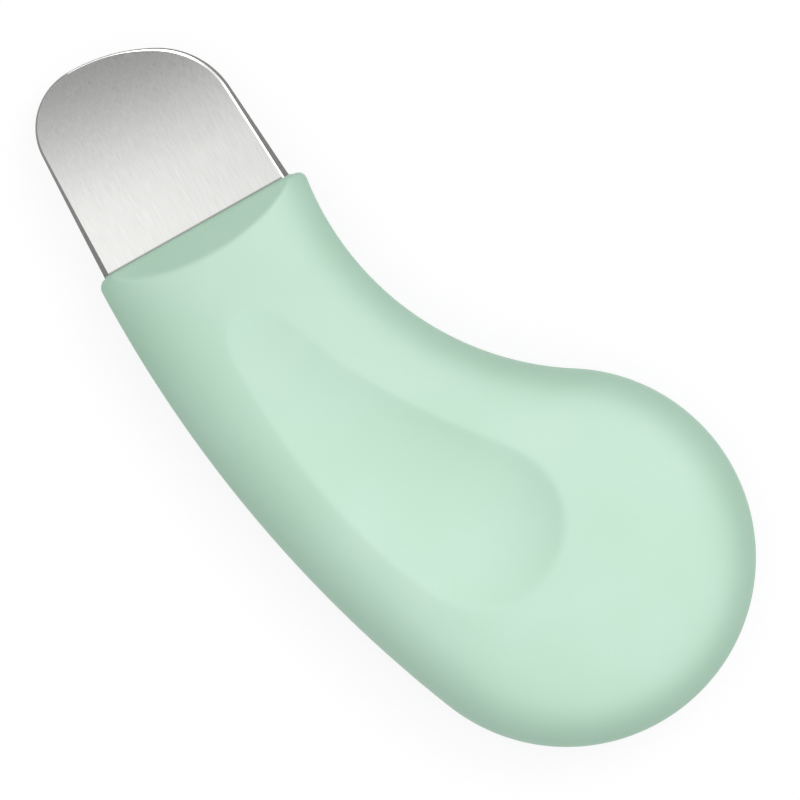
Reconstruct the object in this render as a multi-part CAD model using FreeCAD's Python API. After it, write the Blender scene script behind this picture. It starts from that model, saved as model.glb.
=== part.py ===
import FreeCAD, Part
import math
import os

# Sizes are in millimetres. The origin is where the upright axis of the round palm end meets the
# flat back, the blade points along +X and the front of the handle faces +Z.

# Handle seen from above
palm_radius = 20.0  # round end that lies in the palm
waist_distance = 43.5  # palm axis to the waist, where both flanks run along the blade
waist_width = 24.5
blade_line = 15.9  # the blade's middle line beside the palm axis
mouth_distance = 49.95  # palm axis to the middle of the end face where the blade comes out
mouth_skew = 1.25  # degrees that the end face turns from square, further out on the back's side

# Handle seen from the side
seam_height = 6.5  # flat back to the seam between the two shells
palm_rise = 7.5  # seam to the crown of the front shell over the palm
mouth_rise = 5.2  # seam to the crown of the front shell at the mouth
flat_depth = 0.4  # how much of the full belly the flat back takes off
flat_length = 22.0  # palm axis to where the belly starts to rise
mouth_drop = 4.4  # seam to the belly of the rear shell at the mouth
palm_fullness = 0.78  # shape of the cross-section: 0.55 is a round arch, 1.0 a square one
mouth_fullness = 0.56

# Finger recess in the front shell
recess_ball_radius = 26.0  # its hollow is the path of a ball
recess_floor = 5.43  # seam to the lowest line of the hollow
recess_bend_radius = 67.4  # bend of its middle line, seen from above
recess_start = 44.8  # palm axis to where its middle line starts to bend
recess_line = 17.2  # its middle line there, beside the palm axis
recess_sweep = 32.0  # degrees from there to the middle of its wide end

# Mouth
lip_height = 2.1  # seam to the edge of the slanting lip
lip_slant = 42.0  # degrees
chin_depth = 3.2  # seam to the edge of the chin, its counterpart under the blade
chin_slant = 40.0  # degrees
mouth_round = 1.2  # rounding of the two upright corners
corner_bite = 0.05  # how far that rounding cuts into the flanks
mouth_wall = 3.0  # length of the slot that grips the blade
mouth_cheek = 1.1  # handle on each side of the blade

# Blade
blade_reach = 21.05  # mouth to the foremost point of the edge
blade_thickness = 1.0
edge_thickness = 0.45
side_lean = 3.25  # degrees that each side leans in towards the edge
edge_offset = 3.6  # foremost point of the edge off the blade's middle line
edge_fall = 1.3  # how far the low corner stands behind the foremost point
low_corner_radius = 9.3
bend_start = 6.0  # mouth to where the blade starts to curve down
bend_radius = 42.0  # curve of its upper face
edge_break = 0.3  # bevel along the upper edge of the part that shows
tang_width = 14.0
tang_reach = 24.0  # mouth to the end of the tang inside the handle
tang_corner_radius = 2.0

# Shells
wall = 2.0  # between the hollow of the palm end and the flat back or the finger recess
crown_wall = 2.5  # over that hollow
hollow_inset = 3.6  # outside of the handle to the hollow, at the seam
hollow_taper = 6.0  # how much further in the hollow's roof and floor end
tongue_inset = 1.0  # outside of the handle to the rear shell's tongue
tongue_thickness = 0.8
tongue_height = 1.0
tongue_gap = 0.3
slot_gap = 0.15  # around the blade
peg_diameter = 4.0
peg_height = 2.4  # above the seam
peg_gap = 0.3
boss_wall = 1.6
mouth_peg_distance = 8.0  # mouth to the first peg through the tang
end_peg_distance = 6.0  # end of the tang to the second
palm_peg_circle = 10.5
palm_peg_turns = (110.0, 200.0, 290.0)  # degrees around the palm axis

overrun = 2.0  # how far cutting shapes pass the faces that they cut
beyond = 200.0  # longer than anything here
section_step = 9.0  # degrees between sections of the neck


def vector(x, y, z=0.0):
    return FreeCAD.Vector(x, y, z)


# The outline is three arcs that run into each other: the palm end, the hollow neck and the back.
low_flank = blade_line - waist_width / 2
high_flank = blade_line + waist_width / 2
neck_radius = (waist_distance**2 + low_flank**2 - palm_radius**2) / (2 * (palm_radius + low_flank))
neck_centre = vector(waist_distance, low_flank - neck_radius)
back_radius = (waist_distance**2 + high_flank**2 - palm_radius**2) / (2 * (high_flank - palm_radius))
back_centre = vector(waist_distance, high_flank - back_radius)
back_join = back_centre * (-palm_radius / back_centre.Length)

# Sections of the neck stand on bearings around the centre of the hollow neck.
palm_bearing = math.atan2(-neck_centre.y, -neck_centre.x)
join_bearing = math.atan2(back_join.y - neck_centre.y, back_join.x - neck_centre.x)

mouth_middle = vector(mouth_distance, blade_line)
skew = math.radians(mouth_skew)
mouth_out = vector(math.cos(skew), -math.sin(skew))
mouth_along = vector(math.sin(skew), math.cos(skew))

blade_width = waist_width - 2 * mouth_cheek
lean = math.radians(side_lean)
shoulder_width = blade_width + 2 * mouth_wall * math.tan(lean)
boss_radius = peg_diameter / 2 + peg_gap + boss_wall
tang_low = seam_height - blade_thickness / 2
tang_high = seam_height + blade_thickness / 2


def half_space(point, outward):
    box = Part.makeBox(2 * beyond, 2 * beyond, 2 * beyond, vector(0, -beyond, -beyond))
    box.Placement = FreeCAD.Placement(point, FreeCAD.Rotation(vector(1, 0, 0), outward))
    return box


def slab(low, high):
    return Part.makeBox(2 * beyond, 2 * beyond, high - low, vector(-beyond, -beyond, low))


def arc_around(centre, start, end):
    # The shorter arc from start to end.
    middle = (start + end) * 0.5 - centre
    middle = centre + middle * ((start - centre).Length / middle.Length)
    return Part.Arc(start, middle, end).toShape()


def eased(share):
    share = min(max(share, 0.0), 1.0)
    return share * share * (3 - 2 * share)


def between(start, end, share):
    return start + (end - start) * share


def distance_to_circle(start, direction, centre, radius):
    # From a point inside the circle, or below it, along the direction to where it is left.
    offset = start - centre
    along = offset.dot(direction)
    return math.sqrt(along**2 - offset.Length**2 + radius**2) - along


def far_flank(bearing):
    # Distance from the neck centre to the far side of the handle.
    if bearing > join_bearing:
        centre = vector(0, 0)
        radius = palm_radius
    else:
        centre = back_centre
        radius = back_radius
    direction = vector(math.cos(bearing), math.sin(bearing))
    return distance_to_circle(neck_centre, direction, centre, radius)


def section_quarters(bearing):
    # Past the palm axis the sections repeat in mirror image, so that the loft crosses it squarely.
    own = palm_bearing - abs(palm_bearing - bearing)
    middle = (neck_radius + far_flank(own)) / 2
    half = middle - neck_radius
    place = neck_centre.x + middle * math.cos(own)
    neck_share = eased(place / mouth_distance)
    belly_share = eased((place - flat_length) / (mouth_distance - flat_length))
    rise = between(palm_rise, mouth_rise, neck_share)
    drop = between(seam_height + flat_depth, mouth_drop, belly_share)
    full = between(palm_fullness, mouth_fullness, neck_share)

    def spot(across, height):
        distance = middle + across * half
        x = neck_centre.x + distance * math.cos(bearing)
        y = neck_centre.y + distance * math.sin(bearing)
        return vector(x, y, seam_height + height)

    def quarter(side, height):
        curve = Part.BezierCurve()
        curve.setPoles([spot(side, 0), spot(side, full * height), spot(side * full, height), spot(0, height)])
        return curve.toShape()

    return [quarter(1, rise), quarter(-1, rise), quarter(-1, -drop), quarter(1, -drop)]


def mouth_corner(centre, distance, side):
    # What the rounding takes off one upright corner of the mouth. Its circle runs along the end face
    # and along the flank, which is an arc around the given centre.
    start = mouth_middle - mouth_out * mouth_round
    along = distance_to_circle(start, mouth_along, centre, distance) - side * corner_bite
    edge = Part.Wire(Part.makeCircle(mouth_round, vector(0, 0, -beyond)))
    column = Part.Face(edge).extrude(vector(0, 0, 2 * beyond))
    depth = mouth_round + overrun
    box = Part.makeBox(depth, depth, 2 * beyond, vector(0, min(0, side * depth), -beyond))
    corner = box.cut(column)
    turn = FreeCAD.Rotation(vector(1, 0, 0), mouth_out)
    corner.Placement = FreeCAD.Placement(start + mouth_along * along, turn)
    return corner


def mouth_cuts():
    lip_tilt = math.radians(lip_slant)
    chin_tilt = math.radians(chin_slant)
    lip_edge = mouth_middle + vector(0, 0, seam_height + lip_height)
    chin_edge = mouth_middle + vector(0, 0, seam_height - chin_depth)
    return [
        half_space(mouth_middle, mouth_out),
        half_space(lip_edge, mouth_out * math.sin(lip_tilt) + vector(0, 0, math.cos(lip_tilt))),
        half_space(chin_edge, mouth_out * math.sin(chin_tilt) - vector(0, 0, math.cos(chin_tilt))),
        mouth_corner(neck_centre, neck_radius + mouth_round, -1),
        mouth_corner(back_centre, back_radius - mouth_round, 1),
    ]


def handle_body():
    # A loft from past the palm axis to past the mouth, closed by half a turned palm end.
    end_bearing = math.acos((mouth_distance + overrun - waist_distance) / neck_radius)
    count = math.ceil(math.degrees(palm_bearing - end_bearing) / section_step)
    step = (palm_bearing - end_bearing) / count
    sections = []
    for index in range(-3, count + 1):
        sections.append(Part.Wire(section_quarters(palm_bearing - index * step)))
    away = vector(-math.sin(palm_bearing), math.cos(palm_bearing))
    neck = Part.makeLoft(sections, True).cut(half_space(vector(0, 0), away))
    quarters = section_quarters(palm_bearing)
    top = quarters[0].Vertexes[-1].Point
    bottom = quarters[-1].Vertexes[-1].Point
    half_section = Part.Wire([quarters[0], quarters[-1], Part.makeLine(bottom, top)])
    palm = Part.Face(half_section).revolve(vector(0, 0), vector(0, 0, 1), 180)
    return neck.fuse(palm).cut(mouth_cuts())


def handle_plan(inset, end, level):
    # Outline of the handle, set in from its flanks and closed by a straight line.
    palm = palm_radius - inset
    neck = neck_radius + inset
    back = back_radius - inset
    low_turn = math.atan2(neck_centre.y, neck_centre.x)
    high_turn = math.atan2(back_join.y, back_join.x) - 2 * math.pi
    low_join, middle, high_join = (
        vector(palm * math.cos(turn), palm * math.sin(turn), level)
        for turn in (low_turn, (low_turn + high_turn) / 2, high_turn)
    )
    rise = vector(0, 0, level)
    low_end = vector(end, neck_centre.y + math.sqrt(neck**2 - (end - neck_centre.x) ** 2), level)
    high_end = vector(end, back_centre.y + math.sqrt(back**2 - (end - back_centre.x) ** 2), level)
    return Part.Wire([
        Part.Arc(low_join, middle, high_join).toShape(),
        arc_around(back_centre + rise, high_join, high_end),
        Part.makeLine(high_end, low_end),
        arc_around(neck_centre + rise, low_end, low_join),
    ])


def tongue(outer_inset, inner_inset, height):
    # A band along the seam, open at the mouth.
    end = mouth_distance - mouth_wall - tongue_gap
    outside = Part.Face(handle_plan(outer_inset, end, seam_height))
    inside = Part.Face(handle_plan(inner_inset, end + overrun, seam_height))
    return outside.cut(inside).extrude(vector(0, 0, height))


def palm_hollow(level):
    # Hollow of the palm end, from the seam to the given level. It stops short of the tang.
    end = mouth_distance - tang_reach - wall
    rim = handle_plan(hollow_inset, end, seam_height)
    bed = handle_plan(hollow_inset + hollow_taper, end, level)
    return Part.makeLoft([rim, bed], True, True)


def recess_tool(grow):
    # A ball run along an arc that starts beside the blade's line and bends towards the palm.
    radius = recess_ball_radius + grow
    start = vector(recess_start, recess_line, seam_height + recess_floor + recess_ball_radius)
    centre = start - vector(0, recess_bend_radius, 0)
    turn = math.radians(90 + recess_sweep)
    end = centre + vector(math.cos(turn), math.sin(turn)) * recess_bend_radius
    disc = Part.Face(Part.Wire(Part.makeCircle(radius, start, vector(1, 0, 0))))
    run = disc.revolve(centre, vector(0, 0, 1), recess_sweep)
    balls = [Part.makeSphere(radius, spot, vector(1, 0, 0)) for spot in (start, end)]
    return run.fuse(balls)


def tang_pegs():
    distances = (mouth_peg_distance, tang_reach - end_peg_distance)
    return [vector(mouth_distance - distance, blade_line) for distance in distances]


def palm_pegs():
    spots = []
    for turn in palm_peg_turns:
        angle = math.radians(turn)
        spots.append(vector(math.cos(angle), math.sin(angle)) * palm_peg_circle)
    return spots


def posts(spots, radius, low, high):
    return [Part.makeCylinder(radius, high - low, vector(spot.x, spot.y, low)) for spot in spots]


def blade_room():
    # Slot for the part of the blade in the mouth and pocket for its tang.
    cuts = []
    for reach, width, ahead in ((mouth_wall, shoulder_width, overrun), (tang_reach, tang_width, 0.0)):
        corner = vector(mouth_distance - reach - slot_gap, blade_line - width / 2 - slot_gap, tang_low)
        cuts.append(Part.makeBox(reach + slot_gap + ahead, width + 2 * slot_gap, blade_thickness, corner))
    return cuts


def front_shell(body):
    bosses = posts(palm_pegs(), boss_radius, seam_height, beyond)
    roof = seam_height + palm_rise - crown_wall
    hollow = palm_hollow(roof).cut([recess_tool(wall)] + bosses)
    bore_top = seam_height + peg_height + peg_gap
    bores = posts(tang_pegs() + palm_pegs(), peg_diameter / 2 + peg_gap, seam_height - overrun, bore_top)
    groove_end = tongue_inset + tongue_thickness + tongue_gap
    groove = tongue(tongue_inset - tongue_gap, groove_end, tongue_height + tongue_gap)
    shell = body.common(slab(seam_height, beyond)).cut(recess_tool(0.0))
    return shell.cut([hollow, groove] + bores + blade_room())


def rear_shell(body):
    hollow = palm_hollow(wall).cut(posts(palm_pegs(), boss_radius, 0.0, seam_height))
    pegs = posts(tang_pegs() + palm_pegs(), peg_diameter / 2, wall, seam_height + peg_height)
    ridge = tongue(tongue_inset, tongue_inset + tongue_thickness, tongue_height)
    shell = body.common(slab(0.0, seam_height)).cut([hollow] + blade_room())
    return shell.fuse([ridge] + pegs)


def blade_outline():
    # Seen from above, with the middle of the mouth as its origin.
    slope = math.tan(lean)
    half = blade_width / 2
    tang = tang_width / 2
    apex = vector(blade_reach, edge_offset)
    high_radius = (half - blade_reach * slope - edge_offset) * math.cos(lean) / (1 - math.sin(lean))
    high_centre = apex - vector(high_radius, 0)
    high_side = high_centre + vector(math.sin(lean), math.cos(lean)) * high_radius
    low_x = blade_reach - edge_fall - low_corner_radius
    low_centre = vector(low_x, low_corner_radius / math.cos(lean) - half + low_x * slope)
    low_side = low_centre + vector(math.sin(lean), -math.cos(lean)) * low_corner_radius
    # The long arc of the edge runs from the foremost point into the low corner.
    back = apex.x - low_centre.x
    aside = apex.y - low_centre.y
    edge_radius = (back**2 + aside**2 - low_corner_radius**2) / (2 * edge_fall)
    edge_centre = apex - vector(edge_radius, 0)
    low_join = edge_centre + (low_centre - edge_centre) * (edge_radius / (edge_radius - low_corner_radius))
    corners = [
        high_side,
        vector(-mouth_wall, shoulder_width / 2),
        vector(-mouth_wall, tang),
        vector(-tang_reach, tang),
        vector(-tang_reach, -tang),
        vector(-mouth_wall, -tang),
        vector(-mouth_wall, -shoulder_width / 2),
        low_side,
    ]
    edges = [Part.makeLine(start, end) for start, end in zip(corners, corners[1:])]
    edges.append(arc_around(low_centre, low_side, low_join))
    edges.append(arc_around(edge_centre, low_join, apex))
    edges.append(arc_around(high_centre, apex, high_side))
    return Part.Face(Part.Wire(edges))


def blade_side():
    # Seen from the side: flat through the mouth, then curving down and thinning towards the edge.
    half = blade_thickness / 2
    run = blade_reach - bend_start
    upper_drop = bend_radius - math.sqrt(bend_radius**2 - run**2)
    lower_drop = upper_drop - blade_thickness + edge_thickness
    lower_radius = (run**2 + lower_drop**2) / (2 * lower_drop)
    back = -tang_reach - overrun

    def bow(height, radius):
        centre = vector(bend_start, 0, height - radius)
        turn = math.asin((run + overrun) / radius)
        tip = centre + vector(math.sin(turn), 0, math.cos(turn)) * radius
        return tip, arc_around(centre, vector(bend_start, 0, height), tip)

    upper_tip, upper = bow(half, bend_radius)
    lower_tip, lower = bow(-half, lower_radius)
    edges = [
        Part.makeLine(vector(back, 0, -half), vector(back, 0, half)),
        Part.makeLine(vector(back, 0, half), vector(bend_start, 0, half)),
        upper,
        Part.makeLine(upper_tip, lower_tip),
        lower,
        Part.makeLine(vector(bend_start, 0, -half), vector(back, 0, -half)),
    ]
    return Part.Face(Part.Wire(edges))


def tang_corners(plate):
    upright = [edge for edge in plate.Edges if edge.BoundBox.ZLength > 0.9 * blade_thickness]
    return [edge for edge in upright if edge.BoundBox.XMax < 0.1 - tang_reach]


def upper_rim(plate):
    # Edges where the upper face meets the walls, on the part that stands out of the handle.
    edges = []
    for edge in plate.Edges:
        slants = []
        for face in plate.ancestorsOfType(edge, Part.Face):
            low_u, high_u, low_v, high_v = face.ParameterRange
            slants.append(face.normalAt((low_u + high_u) / 2, (low_v + high_v) / 2).z)
        if edge.CenterOfMass.x > 0 and max(slants) > 0.5 and abs(min(slants)) < 0.1:
            edges.append(edge)
    return edges


def blade():
    outline = blade_outline()
    outline.translate(vector(0, 0, -beyond))
    side = blade_side()
    side.translate(vector(0, -beyond, 0))
    plate = outline.extrude(vector(0, 0, 2 * beyond)).common(side.extrude(vector(0, 2 * beyond, 0)))
    plate = plate.makeFillet(tang_corner_radius, tang_corners(plate))
    plate = plate.makeChamfer(edge_break, upper_rim(plate))
    plate.translate(vector(mouth_distance, blade_line, seam_height))
    hole_radius = peg_diameter / 2 + peg_gap
    return plate.cut(posts(tang_pegs(), hole_radius, 0.0, 2 * seam_height))


def main():
    body = handle_body()
    pieces = {"front_shell": front_shell(body), "rear_shell": rear_shell(body), "blade": blade()}
    os.makedirs("parts", exist_ok=True)
    for name, piece in pieces.items():
        print(name, "sound" if piece.isValid() else "faulty", round(piece.Volume), "cubic mm")
        piece.exportStep(f"parts/{name}.step")


main()
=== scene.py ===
import math

import bmesh
import bpy
import numpy as np
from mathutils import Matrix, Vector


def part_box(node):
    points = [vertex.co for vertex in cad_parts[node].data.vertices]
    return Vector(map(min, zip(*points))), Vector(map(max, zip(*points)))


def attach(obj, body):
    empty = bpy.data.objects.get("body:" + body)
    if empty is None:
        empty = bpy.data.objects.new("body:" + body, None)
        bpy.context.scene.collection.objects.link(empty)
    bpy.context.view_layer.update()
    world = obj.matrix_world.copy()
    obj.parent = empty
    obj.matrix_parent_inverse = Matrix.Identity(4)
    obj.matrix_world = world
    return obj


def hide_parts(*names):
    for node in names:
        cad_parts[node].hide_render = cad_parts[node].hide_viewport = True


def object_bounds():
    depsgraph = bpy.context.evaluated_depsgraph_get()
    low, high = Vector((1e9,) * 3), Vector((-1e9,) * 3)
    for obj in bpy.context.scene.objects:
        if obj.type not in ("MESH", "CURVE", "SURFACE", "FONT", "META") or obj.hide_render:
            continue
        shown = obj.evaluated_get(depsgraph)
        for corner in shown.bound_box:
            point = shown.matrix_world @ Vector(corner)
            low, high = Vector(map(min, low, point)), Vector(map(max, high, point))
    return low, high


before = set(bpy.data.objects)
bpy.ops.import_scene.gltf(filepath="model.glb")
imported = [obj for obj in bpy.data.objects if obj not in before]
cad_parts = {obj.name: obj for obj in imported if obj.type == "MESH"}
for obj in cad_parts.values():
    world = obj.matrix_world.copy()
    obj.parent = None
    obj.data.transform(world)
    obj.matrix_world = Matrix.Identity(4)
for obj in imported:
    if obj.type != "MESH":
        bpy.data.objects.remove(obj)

mm = 0.001
scene = bpy.context.scene
scene.view_settings.view_transform = "Standard"
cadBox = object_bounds()
frontLow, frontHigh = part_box("front_shell")
bladeLow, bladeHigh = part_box("blade")
print("frame loaded,", len(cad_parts), "nodes")


def linear(hexColour):
    channels = [int(hexColour[i:i + 2], 16) / 255 for i in (1, 3, 5)]
    return tuple(c / 12.92 if c <= 0.04045 else ((c + 0.055) / 1.055) ** 2.4 for c in channels) + (1.0,)


def addNode(tree, kind, settings=None, links=None):
    node = tree.nodes.new(kind)
    for name, value in (settings or {}).items():
        if isinstance(name, str) and hasattr(node, name):
            setattr(node, name, value)
        else:
            node.inputs[name].default_value = value
    for name, source in (links or {}).items():
        tree.links.new(source, node.inputs[name])
    return node


def newMaterial(name):
    material = bpy.data.materials.new(name)
    material.use_nodes = True
    tree = material.node_tree
    tree.nodes.clear()
    return material, tree


def noise(tree, vector, scale, detail, roughness=0.5):
    settings = {"Scale": scale, "Detail": detail, "Roughness": roughness}
    return addNode(tree, "ShaderNodeTexNoise", settings, {"Vector": vector}).outputs["Fac"]


def twoTone(tree, share, positions, colours):
    ramp = addNode(tree, "ShaderNodeValToRGB", links={"Fac": share})
    for i in (0, 1):
        ramp.color_ramp.elements[i].position = positions[i]
        ramp.color_ramp.elements[i].color = linear(colours[i])
    return ramp.outputs["Color"]


def around(tree, share, middle, spread):
    settings = {"To Min": middle - spread, "To Max": middle + spread}
    return addNode(tree, "ShaderNodeMapRange", settings, {"Value": share}).outputs["Result"]


def relief(tree, height, strength, depth):
    settings = {"Strength": strength, "Distance": depth * mm}
    return addNode(tree, "ShaderNodeBump", settings, {"Height": height}).outputs["Normal"]


def finished(material, tree, settings, links):
    shader = addNode(tree, "ShaderNodeBsdfPrincipled", settings, links)
    addNode(tree, "ShaderNodeOutputMaterial", links={"Surface": shader.outputs["BSDF"]})
    return material


# Satin ABS from a spark-eroded mould: soft broad highlights, a fine even tooth, pigment a touch uneven.
mint = {
    "pigment": ("#b6dcc4", "#bbdfc9"),
    "pigmentAt": (0.35, 0.65),
    "ior": 1.54,
    "specular": 0.3,
    "roughness": 0.50,
    "roughnessSpread": 0.05,
    "tooth": 0.16,        # mm, grain of the mould, about twice the real one so that it shows
    "toothDepth": 0.004,  # mm
    "toothStrength": 0.5,
    "drift": 14.0,        # mm, size of the pale and deep patches
}


def satinAbs():
    material, tree = newMaterial("satinAbsSparkErodedMould")
    place = addNode(tree, "ShaderNodeTexCoord").outputs["Object"]
    patches = noise(tree, place, 1 / (mint["drift"] * mm), 2.0)
    tooth = noise(tree, place, 1 / (mint["tooth"] * mm), 3.0)
    return finished(material, tree, {"IOR": mint["ior"], "Specular IOR Level": mint["specular"]}, {
        "Base Color": twoTone(tree, patches, mint["pigmentAt"], mint["pigment"]),
        "Roughness": around(tree, tooth, mint["roughness"], mint["roughnessSpread"]),
        "Normal": relief(tree, tooth, mint["toothStrength"], mint["toothDepth"]),
    })


# Stainless steel ground on a belt along the blade: fine straight scratches that smear reflections sideways.
ground = {
    "colour": ("#c6c6c4", "#d0d0ce"),
    "colourAt": (0.3, 0.7),
    "roughness": 0.30,
    "roughnessSpread": 0.06,
    "anisotropic": 0.6,
    "scratch": 0.14,         # mm across, about twice a real belt's so that it shows
    "scratchLength": 2.6,    # mm
    "scratchDepth": 0.0012,  # mm
    "scratchStrength": 0.26,
    "paintedMouthShade": "#59655a",       # painted shade along the mouth: the lip's shaded end wall as mirrored in the steel
    "paintedMouthShadeWidth": 0.24,       # mm
}


def groundSteel():
    material, tree = newMaterial("stainlessSteelBeltGround")
    place = addNode(tree, "ShaderNodeTexCoord").outputs["Object"]
    along, across = 1 / (ground["scratchLength"] * mm), 1 / (ground["scratch"] * mm)
    stretched = addNode(tree, "ShaderNodeMapping", {"Scale": (along, across, across)}, {"Vector": place})
    scratches = noise(tree, stretched.outputs["Vector"], 1.0, 2.0, 0.55)
    steel = twoTone(tree, scratches, ground["colourAt"], ground["colour"])

    # the painted shade fades with the distance out from the mouth's end face, which is turned a little
    turn = math.radians(handle["skew"])
    outward = {"operation": "DOT_PRODUCT", 1: (math.cos(turn), -math.sin(turn), 0)}
    distance = addNode(tree, "ShaderNodeVectorMath", outward, {0: place})
    edge = (mouth * math.cos(turn) - bladeLine * math.sin(turn)) * mm
    fade = {"From Min": edge, "From Max": edge + ground["paintedMouthShadeWidth"] * mm, "To Min": 1.0, "To Max": 0.0}
    paintedMouthShade = addNode(tree, "ShaderNodeMapRange", fade, {"Value": distance.outputs["Value"]})
    steelWithPaintedShade = addNode(tree, "ShaderNodeMix", {"data_type": "RGBA", 7: linear(ground["paintedMouthShade"])},
                     {0: paintedMouthShade.outputs["Result"], 6: steel})

    tangent = addNode(tree, "ShaderNodeTangent", {"direction_type": "UV_MAP", "uv_map": "acrossGrain"})
    return finished(material, tree, {"Metallic": 1.0, "Anisotropic": ground["anisotropic"]}, {
        "Base Color": steelWithPaintedShade.outputs[2],
        "Roughness": around(tree, scratches, ground["roughness"], ground["roughnessSpread"]),
        "Normal": relief(tree, scratches, ground["scratchStrength"], ground["scratchDepth"]),
        "Tangent": tangent.outputs["Tangent"],
    })


# The same steel where the edge was broken on a felt wheel: a clear, nearly mirror-like line.
polished = {
    "colour": "#e8e8e6",
    "roughness": 0.16,
    "roughnessSpread": 0.05,
    "ripple": 0.6,         # mm
    "rippleDepth": 0.001,  # mm
    "rippleStrength": 0.3,
}


def polishedSteel():
    material, tree = newMaterial("stainlessSteelBuffedBevel")
    place = addNode(tree, "ShaderNodeTexCoord").outputs["Object"]
    ripple = noise(tree, place, 1 / (polished["ripple"] * mm), 2.0)
    return finished(material, tree, {"Base Color": linear(polished["colour"]), "Metallic": 1.0}, {
        "Roughness": around(tree, ripple, polished["roughness"], polished["roughnessSpread"]),
        "Normal": relief(tree, ripple, polished["rippleStrength"], polished["rippleDepth"]),
    })


# And where the press blanked it: a rough wall with short upright tears, its grey darkened as painted shade
# for the dark surroundings the wall mirrors.
blanked = {
    # painted shade: these greys are darker than the steel itself
    "colour": ("#6f6f6d", "#8a8a88"),
    "colourAt": (0.3, 0.7),
    "roughness": 0.48,
    "tear": 0.12,        # mm across
    "tearStretch": 12,   # times longer than it is wide
    "tearDepth": 0.004,  # mm
    "tearStrength": 0.5,
}


def blankedSteelPaintedShade():
    material, tree = newMaterial("stainlessSteelBlankedEdgePaintedShade")
    place = addNode(tree, "ShaderNodeTexCoord").outputs["Object"]
    fine = 1 / (blanked["tear"] * mm)
    upright = {"Scale": (fine, fine, fine / blanked["tearStretch"])}
    stretched = addNode(tree, "ShaderNodeMapping", upright, {"Vector": place})
    tears = noise(tree, stretched.outputs["Vector"], 1.0, 3.0)
    return finished(material, tree, {"Metallic": 1.0, "Roughness": blanked["roughness"]}, {
        "Base Color": twoTone(tree, tears, blanked["colourAt"], blanked["colour"]),
        "Normal": relief(tree, tears, blanked["tearStrength"], blanked["tearDepth"]),
    })


def newPiece(name, points, faces, materials, faceMaterials=None, crease=38):
    mesh = bpy.data.meshes.new(name)
    mesh.from_pydata([tuple(p) for p in np.asarray(points) * mm], [], faces)
    for material in materials:
        mesh.materials.append(material)
    if faceMaterials is not None:
        mesh.polygons.foreach_set("material_index", faceMaterials)
    build = bmesh.new()
    build.from_mesh(mesh)
    bmesh.ops.recalc_face_normals(build, faces=build.faces)
    build.to_mesh(mesh)
    build.free()
    mesh.shade_smooth()
    mesh.set_sharp_from_angle(angle=math.radians(crease))
    piece = bpy.data.objects.new(name, mesh)
    scene.collection.objects.link(piece)
    return piece


# Handle, in mm. Both halves share the outline: palm end, hollow neck and back, three arcs in one run.
handle = {
    "palm": -frontLow.x / mm,
    "mouth": 49.95,       # middle of the end face
    "skew": 1.25,         # degrees that face turns from square, further out on the back's side
    "seam": frontLow.z / mm,
    "waist": 43.5,
    "waistWidth": 24.5,
    "bladeLine": 15.9,
    "palmFullness": 0.78,
    "mouthFullness": 0.56,
    "cornerRound": 1.1,   # upright corners of the mouth
    "edgeRound": 0.25,    # edge of its end face
    "endDraft": 0.18,     # how far that face leans back from the slot up to the lip
    "slotHalfWidth": 11.2,
    "slotHalfHeight": 0.5,
    "seamBreak": 0.1,     # each half's edge is broken this much, which draws the seam
    "inside": 0.01,       # the flanks keep this far inside the solids' box
    "farBearing": 60.0,   # degrees from the neck's centre, well past the mouth
    "halvings": 40,
    "seamLines": (0, 0.008, 0.02), "firstLine": 0.04,  # lines along the seam lie close together
    "endRows": (0.34, 0.67, 1.0),
}
frontHalf = {
    "side": 1, "palmHeight": (frontHigh.z - frontLow.z) / mm, "mouthHeight": 5.2, "levelTo": 0.0,
    "lipHeight": 2.1, "lipSlant": 42.0, "lipSoft": 0.12,
    # the recess: its ball, its floor over the seam, and its run round a bend, from and to in degrees
    "ball": 26.0, "floor": 5.43, "bend": 67.4, "start": (44.8, 17.2), "from": 7.4, "sweep": 32.0,
    "dip": 0.26,                 # how much lower it is at its narrow end
    "rise": 0.25, "wider": 5.0,  # how much higher and flatter it is at its wide end
    "recessSoft": (0.2, 0.07), "softFrom": (12.0, 34.0),  # its crease sharpens towards the blade
    "lines": 84, "rows": 150, "turns": 91,
}
rearHalf = {
    "side": -1, "palmHeight": 6.9, "mouthHeight": 4.4, "levelTo": 22.0,
    "lipHeight": 3.2, "lipSlant": 40.0, "lipSoft": 0.12, "flatSoft": 0.12,
    "lines": 40, "rows": 80, "turns": 81,
}

palm, mouth, waist, bladeLine = (handle[k] for k in ("palm", "mouth", "waist", "bladeLine"))
lowFlank = bladeLine - handle["waistWidth"] / 2
highFlank = bladeLine + handle["waistWidth"] / 2
neckRadius = (waist**2 + lowFlank**2 - palm**2) / (2 * (palm + lowFlank))
neckX, neckY = waist, lowFlank - neckRadius
backRadius = (waist**2 + highFlank**2 - palm**2) / (2 * (highFlank - palm))
backX, backY = waist, highFlank - backRadius
palmBearing = math.atan2(-neckY, -neckX)
joinScale = -palm / math.hypot(backX, backY)
joinBearing = math.atan2(backY * joinScale - neckY, backX * joinScale - neckX)
skew = math.tan(math.radians(handle["skew"]))


def eased(share):
    share = np.clip(share, 0, 1)
    return share * share * (3 - 2 * share)


def softMin(a, b, reach):
    near = np.maximum(reach - np.abs(a - b), 0)
    return np.minimum(a, b) - near**2 / (4 * reach)


def archAcross(t, full):
    return (1 - t) ** 3 + 3 * (1 - t) ** 2 * t + 3 * (1 - t) * t**2 * full


def archUp(t, full):
    return 3 * (1 - t) ** 2 * t * full + 3 * (1 - t) * t**2 + t**3


def farFlank(bearing):
    # from the neck's centre across to the palm's arc, or to the back's
    spans = []
    for x, y, radius in ((0, 0, palm), (backX, backY, backRadius)):
        along = (neckX - x) * np.cos(bearing) + (neckY - y) * np.sin(bearing)
        inside = along**2 - (neckX - x) ** 2 - (neckY - y) ** 2 + radius**2
        spans.append(np.sqrt(np.maximum(inside, 0)) - along)
    return np.where(bearing > joinBearing, spans[0], spans[1])


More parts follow.
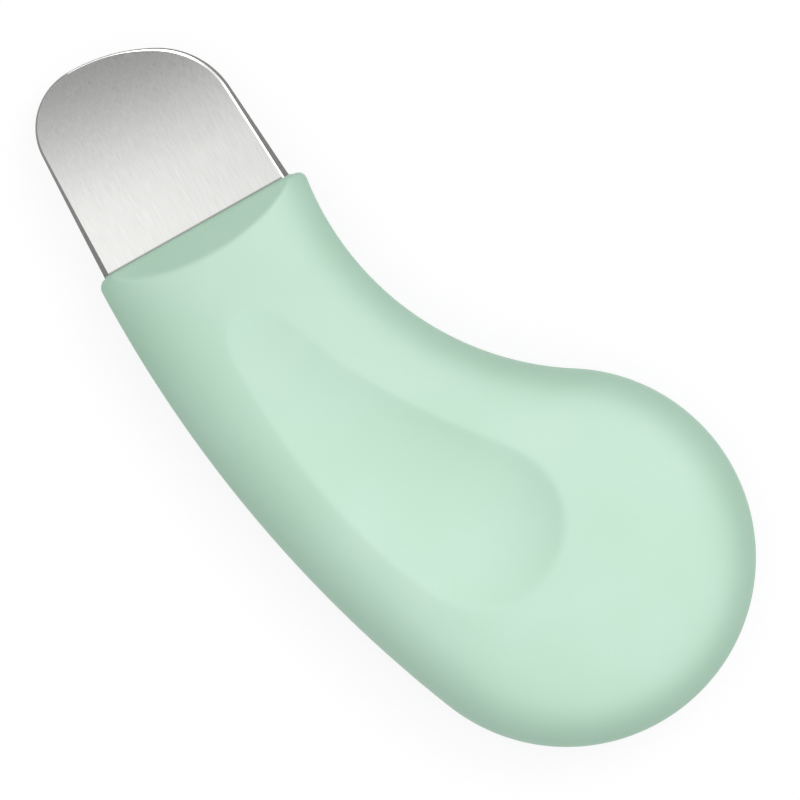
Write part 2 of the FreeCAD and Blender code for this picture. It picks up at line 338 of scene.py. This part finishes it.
def section(half, bearing, flank, t):
    middle = (neckRadius + farFlank(bearing)) / 2
    place = neckX + middle * np.cos(bearing)
    full = handle["palmFullness"] + (handle["mouthFullness"] - handle["palmFullness"]) * eased(place / mouth)
    across = archAcross(t, full) * (middle - neckRadius - handle["inside"]) - handle["seamBreak"] * (t == 0)
    share = eased((place - half["levelTo"]) / (mouth - half["levelTo"]))
    height = half["palmHeight"] + (half["mouthHeight"] - half["palmHeight"]) * share
    distance = middle + flank * across
    return neckX + distance * np.cos(bearing), neckY + distance * np.sin(bearing), archUp(t, full) * height


def unskewed(x, y):
    return x - (y - bladeLine) * skew


def bearingAt(half, place, flank, t):
    # halving until each line along the handle is as far out as the place
    low = np.full(t.shape, math.radians(handle["farBearing"]))
    high = np.full(t.shape, palmBearing)
    for _ in range(handle["halvings"]):
        middle = (low + high) / 2
        short = unskewed(*section(half, middle, flank, t)[:2]) < place
        high = np.where(short, middle, high)
        low = np.where(short, low, middle)
    return (low + high) / 2


def recessHeight(half, x, y):
    # underside of a ball run along an arc that bends from the blade's line to the palm
    centreX, centreY = half["start"][0], half["start"][1] - half["bend"]
    first, last = math.radians(half["from"]), math.radians(half["sweep"])
    turn = np.clip(np.arctan2(centreX - x, y - centreY), first, last)
    away = np.hypot(x - centreX + half["bend"] * np.sin(turn), y - centreY - half["bend"] * np.cos(turn))
    share = (turn - first) / (last - first)
    floor = half["floor"] - half["dip"] * (1 - share) ** 3 + half["rise"] * share**3
    ball = half["ball"] + half["wider"] * share**3
    return floor + ball - np.sqrt(np.maximum(ball**2 - away**2, 0))


def carve(half, x, y, height):
    lip = half["lipHeight"] + (mouth - unskewed(x, y)) * math.tan(math.radians(half["lipSlant"]))
    height = softMin(height, lip, half["lipSoft"])
    if "ball" in half:
        soft = np.interp(x, half["softFrom"], half["recessSoft"])
        return softMin(height, recessHeight(half, x, y), soft)
    return softMin(height, handle["seam"], half["flatSoft"])


def moulding(half, name, material):
    t = np.concatenate([handle["seamLines"], np.linspace(handle["firstLine"], 1, half["lines"] - 2)])
    lines = len(t) - 1
    t = np.concatenate([t, t[-2::-1]])
    flank = np.where(np.arange(2 * lines + 1) <= lines, -1.0, 1.0)

    # neck, row by row from the palm's axis to the mouth's corners
    rim = mouth - handle["endDraft"]
    cornerStart = bearingAt(half, rim - handle["cornerRound"], flank, t)
    steps = np.linspace(0, 1, half["rows"])
    bearings = [palmBearing + (cornerStart - palmBearing) * share for share in steps]
    for angle in np.radians(np.arange(10, 91, 10)):
        bearings.append(bearingAt(half, rim - handle["cornerRound"] * (1 - math.sin(angle)), flank, t))
    x, y, height = section(half, np.array(bearings), flank, t)
    height = carve(half, x, y, height)

    # the mouth's corners draw in, and the edge of its end face turns down
    def turnIn(radius):
        into = np.clip(unskewed(x, y) - rim + radius, 0, radius)
        return radius - np.sqrt(radius**2 - into**2)

    drawnIn, turnedDown = turnIn(handle["cornerRound"]), turnIn(handle["edgeRound"])
    y = bladeLine + (y - bladeLine) * (1 - drawnIn / (handle["waistWidth"] / 2))
    height = height - turnedDown * np.minimum(height / handle["edgeRound"] / 2, 1)

    # end face, down to the slot around the blade
    slotY = np.clip(y[-1], bladeLine - handle["slotHalfWidth"], bladeLine + handle["slotHalfWidth"])
    slotHeight = np.minimum(height[-1], handle["slotHalfHeight"])
    rimY, rimHeight = y[-1], height[-1]
    for share in handle["endRows"]:
        y = np.vstack([y, rimY + (slotY - rimY) * share])
        x = np.vstack([x, rim + handle["endDraft"] * share + (y[-1] - bladeLine) * skew])
        height = np.vstack([height, rimHeight + (slotHeight - rimHeight) * share])
    rows, columns = x.shape
    points = np.stack([x, y, handle["seam"] + half["side"] * height], axis=-1).reshape(-1, 3)
    neck = np.arange(rows * columns).reshape(rows, columns)

    # palm end, half a turn from the far flank round to the near one
    turns = half["turns"]
    angle = palmBearing + math.pi * np.arange(1, turns)[:, None] / turns
    radial = t[:lines]
    radius = archAcross(radial, handle["palmFullness"]) * (palm - handle["inside"])
    radius = radius - handle["seamBreak"] * (radial == 0)
    x, y = np.cos(angle) * radius, np.sin(angle) * radius
    height = carve(half, x, y, archUp(radial, handle["palmFullness"]) * half["palmHeight"] + 0 * x)
    turned = np.stack([x, y, handle["seam"] + half["side"] * height], axis=-1).reshape(-1, 3)
    palmEnd = np.zeros((turns + 1, lines + 1), int)
    palmEnd[0] = neck[0, ::-1][:lines + 1]
    palmEnd[turns] = neck[0, :lines + 1]
    palmEnd[1:turns, :lines] = len(points) + np.arange(len(turned)).reshape(turns - 1, lines)
    palmEnd[:, lines] = neck[0, lines]  # the crown, where all the lines meet

    faces = []
    for grid in (neck, palmEnd):
        for a, b in zip(grid, grid[1:]):
            for j in range(grid.shape[1] - 1):
                face = list(dict.fromkeys((a[j], a[j + 1], b[j + 1], b[j])))
                faces.append(tuple(int(i) for i in face))
    # the joint face at the seam, as rungs from flank to flank, and the plug inside the slot
    for a, b in zip(neck, neck[1:]):
        faces.append((int(a[0]), int(a[-1]), int(b[-1]), int(b[0])))
    for k in range((turns - 1) // 2):
        faces.append(tuple(int(palmEnd[i, 0]) for i in (k, k + 1, turns - k - 1, turns - k)))
    faces.append(tuple(int(i) for i in neck[-1]))
    piece = newPiece(name, np.vstack([points, turned]), faces, [material])
    print(name, len(piece.data.vertices), "points")
    return piece


mintMaterial = satinAbs()
mouldings = []
halves = ((frontHalf, "frontMoulding", "front_shell"), (rearHalf, "rearMoulding", "rear_shell"))
for half, name, node in halves:
    piece = moulding(half, name, mintMaterial)
    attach(piece, "root")
    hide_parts(node)
    mouldings.append(piece)


# Blade, in mm, measured from the middle of the mouth
bladeForm = {
    "reach": bladeHigh.x / mm - mouth,
    "width": 22.3,
    "lean": 3.25,           # degrees, each side
    "edgeOffset": 3.6,      # foremost point of the edge beside the middle line
    "edgeFall": 1.3,
    "lowCorner": 9.3,
    "thickness": 1.0,
    "edgeThickness": 0.45,
    "bendStart": 6.0,
    "bendRadius": 42.0,
    "shoulder": 3.0,        # mouth to the shoulders inside the handle
    "tangHalf": 7.0,
    "tangReach": 24.0,
    "bevelRoot": 0.13,      # buffed line along the low side, at the mouth and at the edge
    "bevelEdge": 0.23,
    "bevelSlope": 0.34,
    "bevelFrom": 4.0,       # it starts this far from the foremost point and takes this long to full width
    "bevelRunOut": 9.0,
    "wallRoot": 0.56,       # how far the blanked wall leans out, at the mouth and at the edge
    "wallEdge": 0.12,
    "topBreak": 0.03,       # edge of the upper face, across and down
    "topDrop": 0.01,
    "footInset": 0.05,      # edge of the underside, across and up
    "footRise": 0.04,
    "flatTo": 11.0,         # rows lie evenly as far as this and then close up towards the edge
    "flatRows": 30,
    "tipRows": 60,
    "shoulderStep": 0.001,
    "columns": 40,
    "grainScale": 10.0,
}


def bladeOutline(rows):
    # for each x: low point, its outward direction, high point, its outward direction
    b = bladeForm
    lean = math.radians(b["lean"])
    slope = math.tan(lean)
    half = b["width"] / 2
    highRadius = (half - b["reach"] * slope - b["edgeOffset"]) * math.cos(lean) / (1 - math.sin(lean))
    highX, highY = b["reach"] - highRadius, b["edgeOffset"]
    lowX = b["reach"] - b["edgeFall"] - b["lowCorner"]
    lowY = b["lowCorner"] / math.cos(lean) - half + lowX * slope
    back, aside = b["reach"] - lowX, b["edgeOffset"] - lowY
    edgeRadius = (back**2 + aside**2 - b["lowCorner"] ** 2) / (2 * b["edgeFall"])
    edgeX, edgeY = b["reach"] - edgeRadius, b["edgeOffset"]
    joinX = edgeX + (lowX - edgeX) * edgeRadius / (edgeRadius - b["lowCorner"])
    sides = []
    for side in (-1, 1):
        points, outs = [], []
        for x in rows:
            if x < -b["shoulder"]:
                point, out = (x, side * b["tangHalf"]), (0.0, side)
            else:
                cx, cy, radius = highX, highY, highRadius
                if side < 0 and x > joinX:
                    cx, cy, radius = edgeX, edgeY, edgeRadius
                elif side < 0:
                    cx, cy, radius = lowX, lowY, b["lowCorner"]
                if x <= cx + radius * math.sin(lean):
                    point, out = (x, side * (half - x * slope)), (math.sin(lean), side * math.cos(lean))
                else:
                    rise = math.sqrt(max(radius**2 - (x - cx) ** 2, 0))
                    point, out = (x, cy + side * rise), ((x - cx) / radius, side * rise / radius)
            points.append(point)
            outs.append(out)
        sides.append((np.array(points), np.array(outs)))
    return sides


def bladePlate(materials):
    b = bladeForm
    flat = np.linspace(-b["shoulder"], b["flatTo"], b["flatRows"])
    closing = np.sin(np.linspace(0, math.pi / 2, b["tipRows"]))[1:]
    tip = b["flatTo"] + (b["reach"] - b["flatTo"]) * closing
    rows = np.concatenate([[-b["tangReach"], -b["shoulder"] - b["shoulderStep"]], flat, tip])
    (low, lowOut), (high, highOut) = bladeOutline(rows)
    run = b["reach"] - b["bendStart"]
    upperDrop = b["bendRadius"] - math.sqrt(b["bendRadius"] ** 2 - run**2)
    lowerDrop = upperDrop - b["thickness"] + b["edgeThickness"]
    lowerRadius = (run**2 + lowerDrop**2) / (2 * lowerDrop)

    def fall(x, radius):
        over = np.clip(x - b["bendStart"], 0, None)
        return radius - np.sqrt(radius**2 - over**2)

    def upper(x):
        return b["thickness"] / 2 - fall(x, b["bendRadius"])

    def lower(x):
        return -b["thickness"] / 2 - fall(x, lowerRadius)

    share = np.clip(rows / b["reach"], 0, 1)[:, None]
    wall = b["wallRoot"] + (b["wallEdge"] - b["wallRoot"]) * share
    bevelWidth = b["bevelRoot"] + (b["bevelEdge"] - b["bevelRoot"]) * share
    shown = rows[:, None] > -b["shoulder"] - b["shoulderStep"] / 2  # the tang keeps plain square sides
    fromTip = np.hypot(*(low - low[-1]).T)[:, None]
    bevelWidth = bevelWidth * eased((fromTip - b["bevelFrom"]) / b["bevelRunOut"])

    def layer(lowInset, highInset, level, columns):
        left, right = low - lowOut * lowInset * shown, high - highOut * highInset * shown
        across = np.linspace(0, 1, columns + 1)[None, :, None]
        flatPoints = left[:, None] * (1 - across) + right[:, None] * across
        height = level(flatPoints[..., 0])
        return np.concatenate([flatPoints, height[..., None]], axis=-1)

    top = layer(wall + b["topBreak"] + bevelWidth, wall + b["topBreak"], upper, b["columns"])
    bevel = layer(wall, wall, upper, 1)
    bevel[:, :, 2] -= b["topDrop"]
    bevel[:, 0, 2] -= b["bevelSlope"] * bevelWidth[:, 0]
    foot = layer(0, 0, lambda x: lower(x) + b["footRise"], 1)
    under = layer(b["footInset"], b["footInset"], lower, b["columns"])

    # one ring of points per row: over the top, down the high side, back underneath, up the low side
    ring = np.concatenate([top, bevel[:, 1:], foot[:, 1:], under[:, ::-1], foot[:, :1], bevel[:, :1]], axis=1)
    # faces are ground (0), apart from the buffed bevel (1) and the blanked sides (2), whose dark grey is
    # painted shade
    finish = [0] * b["columns"] + [2, 2, 2] + [0] * b["columns"] + [2, 2, 1]
    points = ring.reshape(-1, 3) + np.array([mouth, bladeLine, handle["seam"]])
    index = np.arange(len(points)).reshape(ring.shape[:2])
    faces, faceMaterials = [], []
    count = ring.shape[1]
    for a, c in zip(index, index[1:]):
        for j in range(count):
            n = (j + 1) % count
            faces.append((int(a[j]), int(a[n]), int(c[n]), int(c[j])))
            faceMaterials.append(finish[j])
    faces.append(tuple(int(i) for i in index[0]))
    faceMaterials.append(2)
    piece = newPiece("bladePlate", points, faces, materials, faceMaterials, crease=11)
    uv = piece.data.uv_layers.new(name="acrossGrain")
    places = np.array([piece.data.vertices[loop.vertex_index].co[:2] for loop in piece.data.loops])
    uv.data.foreach_set("uv", (places[:, ::-1] * b["grainScale"]).ravel())
    # the last row closes up on one point
    build = bmesh.new()
    build.from_mesh(piece.data)
    bmesh.ops.remove_doubles(build, verts=build.verts, dist=1e-7)
    build.to_mesh(piece.data)
    build.free()
    print("bladePlate", len(piece.data.vertices), "points")
    return piece


plate = bladePlate([groundSteel(), polishedSteel(), blankedSteelPaintedShade()])
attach(plate, "root")
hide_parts("blade")


# Camera straight above, with the blade up and to the left
camera = {
    "over": (23.24, 6.70),  # mm, point in the middle of the picture
    "turn": -120.5,         # degrees
    "width": 84.43,         # mm of the seam's level across the picture
    "lens": 300.0,
    "sensor": 36.0,
}
view = bpy.data.cameras.new("overhead")
view.lens = camera["lens"]
view.sensor_width = camera["sensor"]
view.clip_start, view.clip_end = 0.01, 20.0
eye = bpy.data.objects.new("overhead", view)
height = camera["width"] * mm * camera["lens"] / camera["sensor"] + frontLow.z
eye.location = (camera["over"][0] * mm, camera["over"][1] * mm, height)
eye.rotation_euler = (0, 0, math.radians(camera["turn"]))
scene.collection.objects.link(eye)
scene.camera = eye
print("camera", round(height, 3), "m up")


# Studio: white table under a white tent, a key box on the hollow side of the neck, boxes to be mirrored
studio = {
    "tableSize": 3.0,
    "tableBounce": "#b6b6b6",   # what the table gives back to the handle's flanks
    "tableGlow": 0.82,          # the rest of its white, as the picture shows it
    "tableLit": "#868686",
    "skyFill": 0.70,
    "key": {"at": (0.123, -0.461, 0.763), "size": (0.48, 0.48), "power": 1.2},
    "sheen": {"at": (0.02, -0.065, 0.35), "size": (0.9, 0.61), "power": 10.2},
    "rim": {"at": (0.557, -0.249, 0.23), "size": (0.87, 0.28), "power": 1.7},
    "panel": {"low": (0.042, -0.016), "high": (0.17, 0.075), "level": 0.056, "turn": -45.0,
              "near": 1.50, "far": 0.27, "ramp": (0.0187, 0.072)},
}


def raysOf(tree):
    # camera, glossy and transmitted rays all see the picture's white
    path = addNode(tree, "ShaderNodeLightPath")
    first = addNode(tree, "ShaderNodeMath", {"operation": "MAXIMUM"},
                    {0: path.outputs["Is Camera Ray"], 1: path.outputs["Is Glossy Ray"]})
    return addNode(tree, "ShaderNodeMath", {"operation": "MAXIMUM"},
                   {0: first.outputs[0], 1: path.outputs["Is Transmission Ray"]}).outputs[0]


def flatSheet(name, low, high, material):
    corners = [(low[0], low[1], 0), (high[0], low[1], 0), (high[0], high[1], 0), (low[0], high[1], 0)]
    mesh = bpy.data.meshes.new(name)
    mesh.from_pydata(corners, [], [(0, 1, 2, 3)])
    mesh.materials.append(material)
    sheet = bpy.data.objects.new(name, mesh)
    scene.collection.objects.link(sheet)
    return sheet


world = bpy.data.worlds.new("studio")
world.use_nodes = True
tree = world.node_tree
tree.nodes.clear()
fill = addNode(tree, "ShaderNodeBackground", {"Color": linear("#ffffff"), "Strength": studio["skyFill"]})
white = addNode(tree, "ShaderNodeBackground", {"Color": linear("#ffffff"), "Strength": 1.0})
mixed = addNode(tree, "ShaderNodeMixShader", links={0: raysOf(tree), 1: fill.outputs[0], 2: white.outputs[0]})
addNode(tree, "ShaderNodeOutputWorld", links={"Surface": mixed.outputs[0]})
scene.world = world

tableMaterial, tree = newMaterial("whiteLaminate")
lit = addNode(tree, "ShaderNodeBsdfDiffuse", {"Color": linear(studio["tableLit"])})
glow = addNode(tree, "ShaderNodeEmission", {"Color": linear("#ffffff"), "Strength": studio["tableGlow"]})
shown = addNode(tree, "ShaderNodeAddShader", links={0: lit.outputs[0], 1: glow.outputs[0]})
bounce = addNode(tree, "ShaderNodeBsdfDiffuse", {"Color": linear(studio["tableBounce"])})
mixed = addNode(tree, "ShaderNodeMixShader",
                links={0: raysOf(tree), 1: bounce.outputs[0], 2: shown.outputs[0]})
addNode(tree, "ShaderNodeOutputMaterial", links={"Surface": mixed.outputs[0]})
reach = studio["tableSize"] / 2
tableTop = flatSheet("table", (-reach, -reach), (reach, reach), tableMaterial)


def aimed(thing, at):
    thing.location = at
    middle = (cadBox[0] + cadBox[1]) / 2
    thing.rotation_euler = (middle - thing.location).to_track_quat("-Z", "Y").to_euler()
    scene.collection.objects.link(thing)
    return thing


# the key box lights everything, the other two are only mirrored: sheen by the handle, rim by the blade
for name, mirroredBy in (("key", None), ("sheen", mouldings), ("rim", [plate])):
    lamp = bpy.data.lights.new(name + "SoftBox", "AREA")
    lamp.shape = "RECTANGLE"
    lamp.size, lamp.size_y = studio[name]["size"]
    lamp.energy = studio[name]["power"]
    box = aimed(bpy.data.objects.new(name + "SoftBox", lamp), studio[name]["at"])
    box.visible_camera = False
    if mirroredBy:
        box.visible_diffuse = False
        box.light_linking.receiver_collection = bpy.data.collections.new(name + "Receivers")
        for piece in mirroredBy:
            box.light_linking.receiver_collection.objects.link(piece)

# the panel is only for the steel to mirror: bright over the root, dim past the tip
panelForm = studio["panel"]
panelMaterial, tree = newMaterial("gradedPanel")
place = addNode(tree, "ShaderNodeTexCoord").outputs["Object"]
turn = {"Rotation": (0, 0, -math.radians(panelForm["turn"]))}
turned = addNode(tree, "ShaderNodeMapping", turn, {"Vector": place})
spread = addNode(tree, "ShaderNodeSeparateXYZ", links={0: turned.outputs["Vector"]})
ramp = {"From Min": panelForm["ramp"][0], "From Max": panelForm["ramp"][1],
        "To Min": panelForm["near"], "To Max": panelForm["far"]}
level = addNode(tree, "ShaderNodeMapRange", ramp, {"Value": spread.outputs["X"]})
paint = addNode(tree, "ShaderNodeEmission", {"Color": linear("#ffffff")},
                {"Strength": level.outputs["Result"]})
addNode(tree, "ShaderNodeOutputMaterial", links={"Surface": paint.outputs[0]})
panel = flatSheet("gradedPanel", panelForm["low"], panelForm["high"], panelMaterial)
panel.location = (0, 0, panelForm["level"])
panel.visible_camera = False
panel.visible_diffuse = False
panel.visible_shadow = False
print("studio ready")
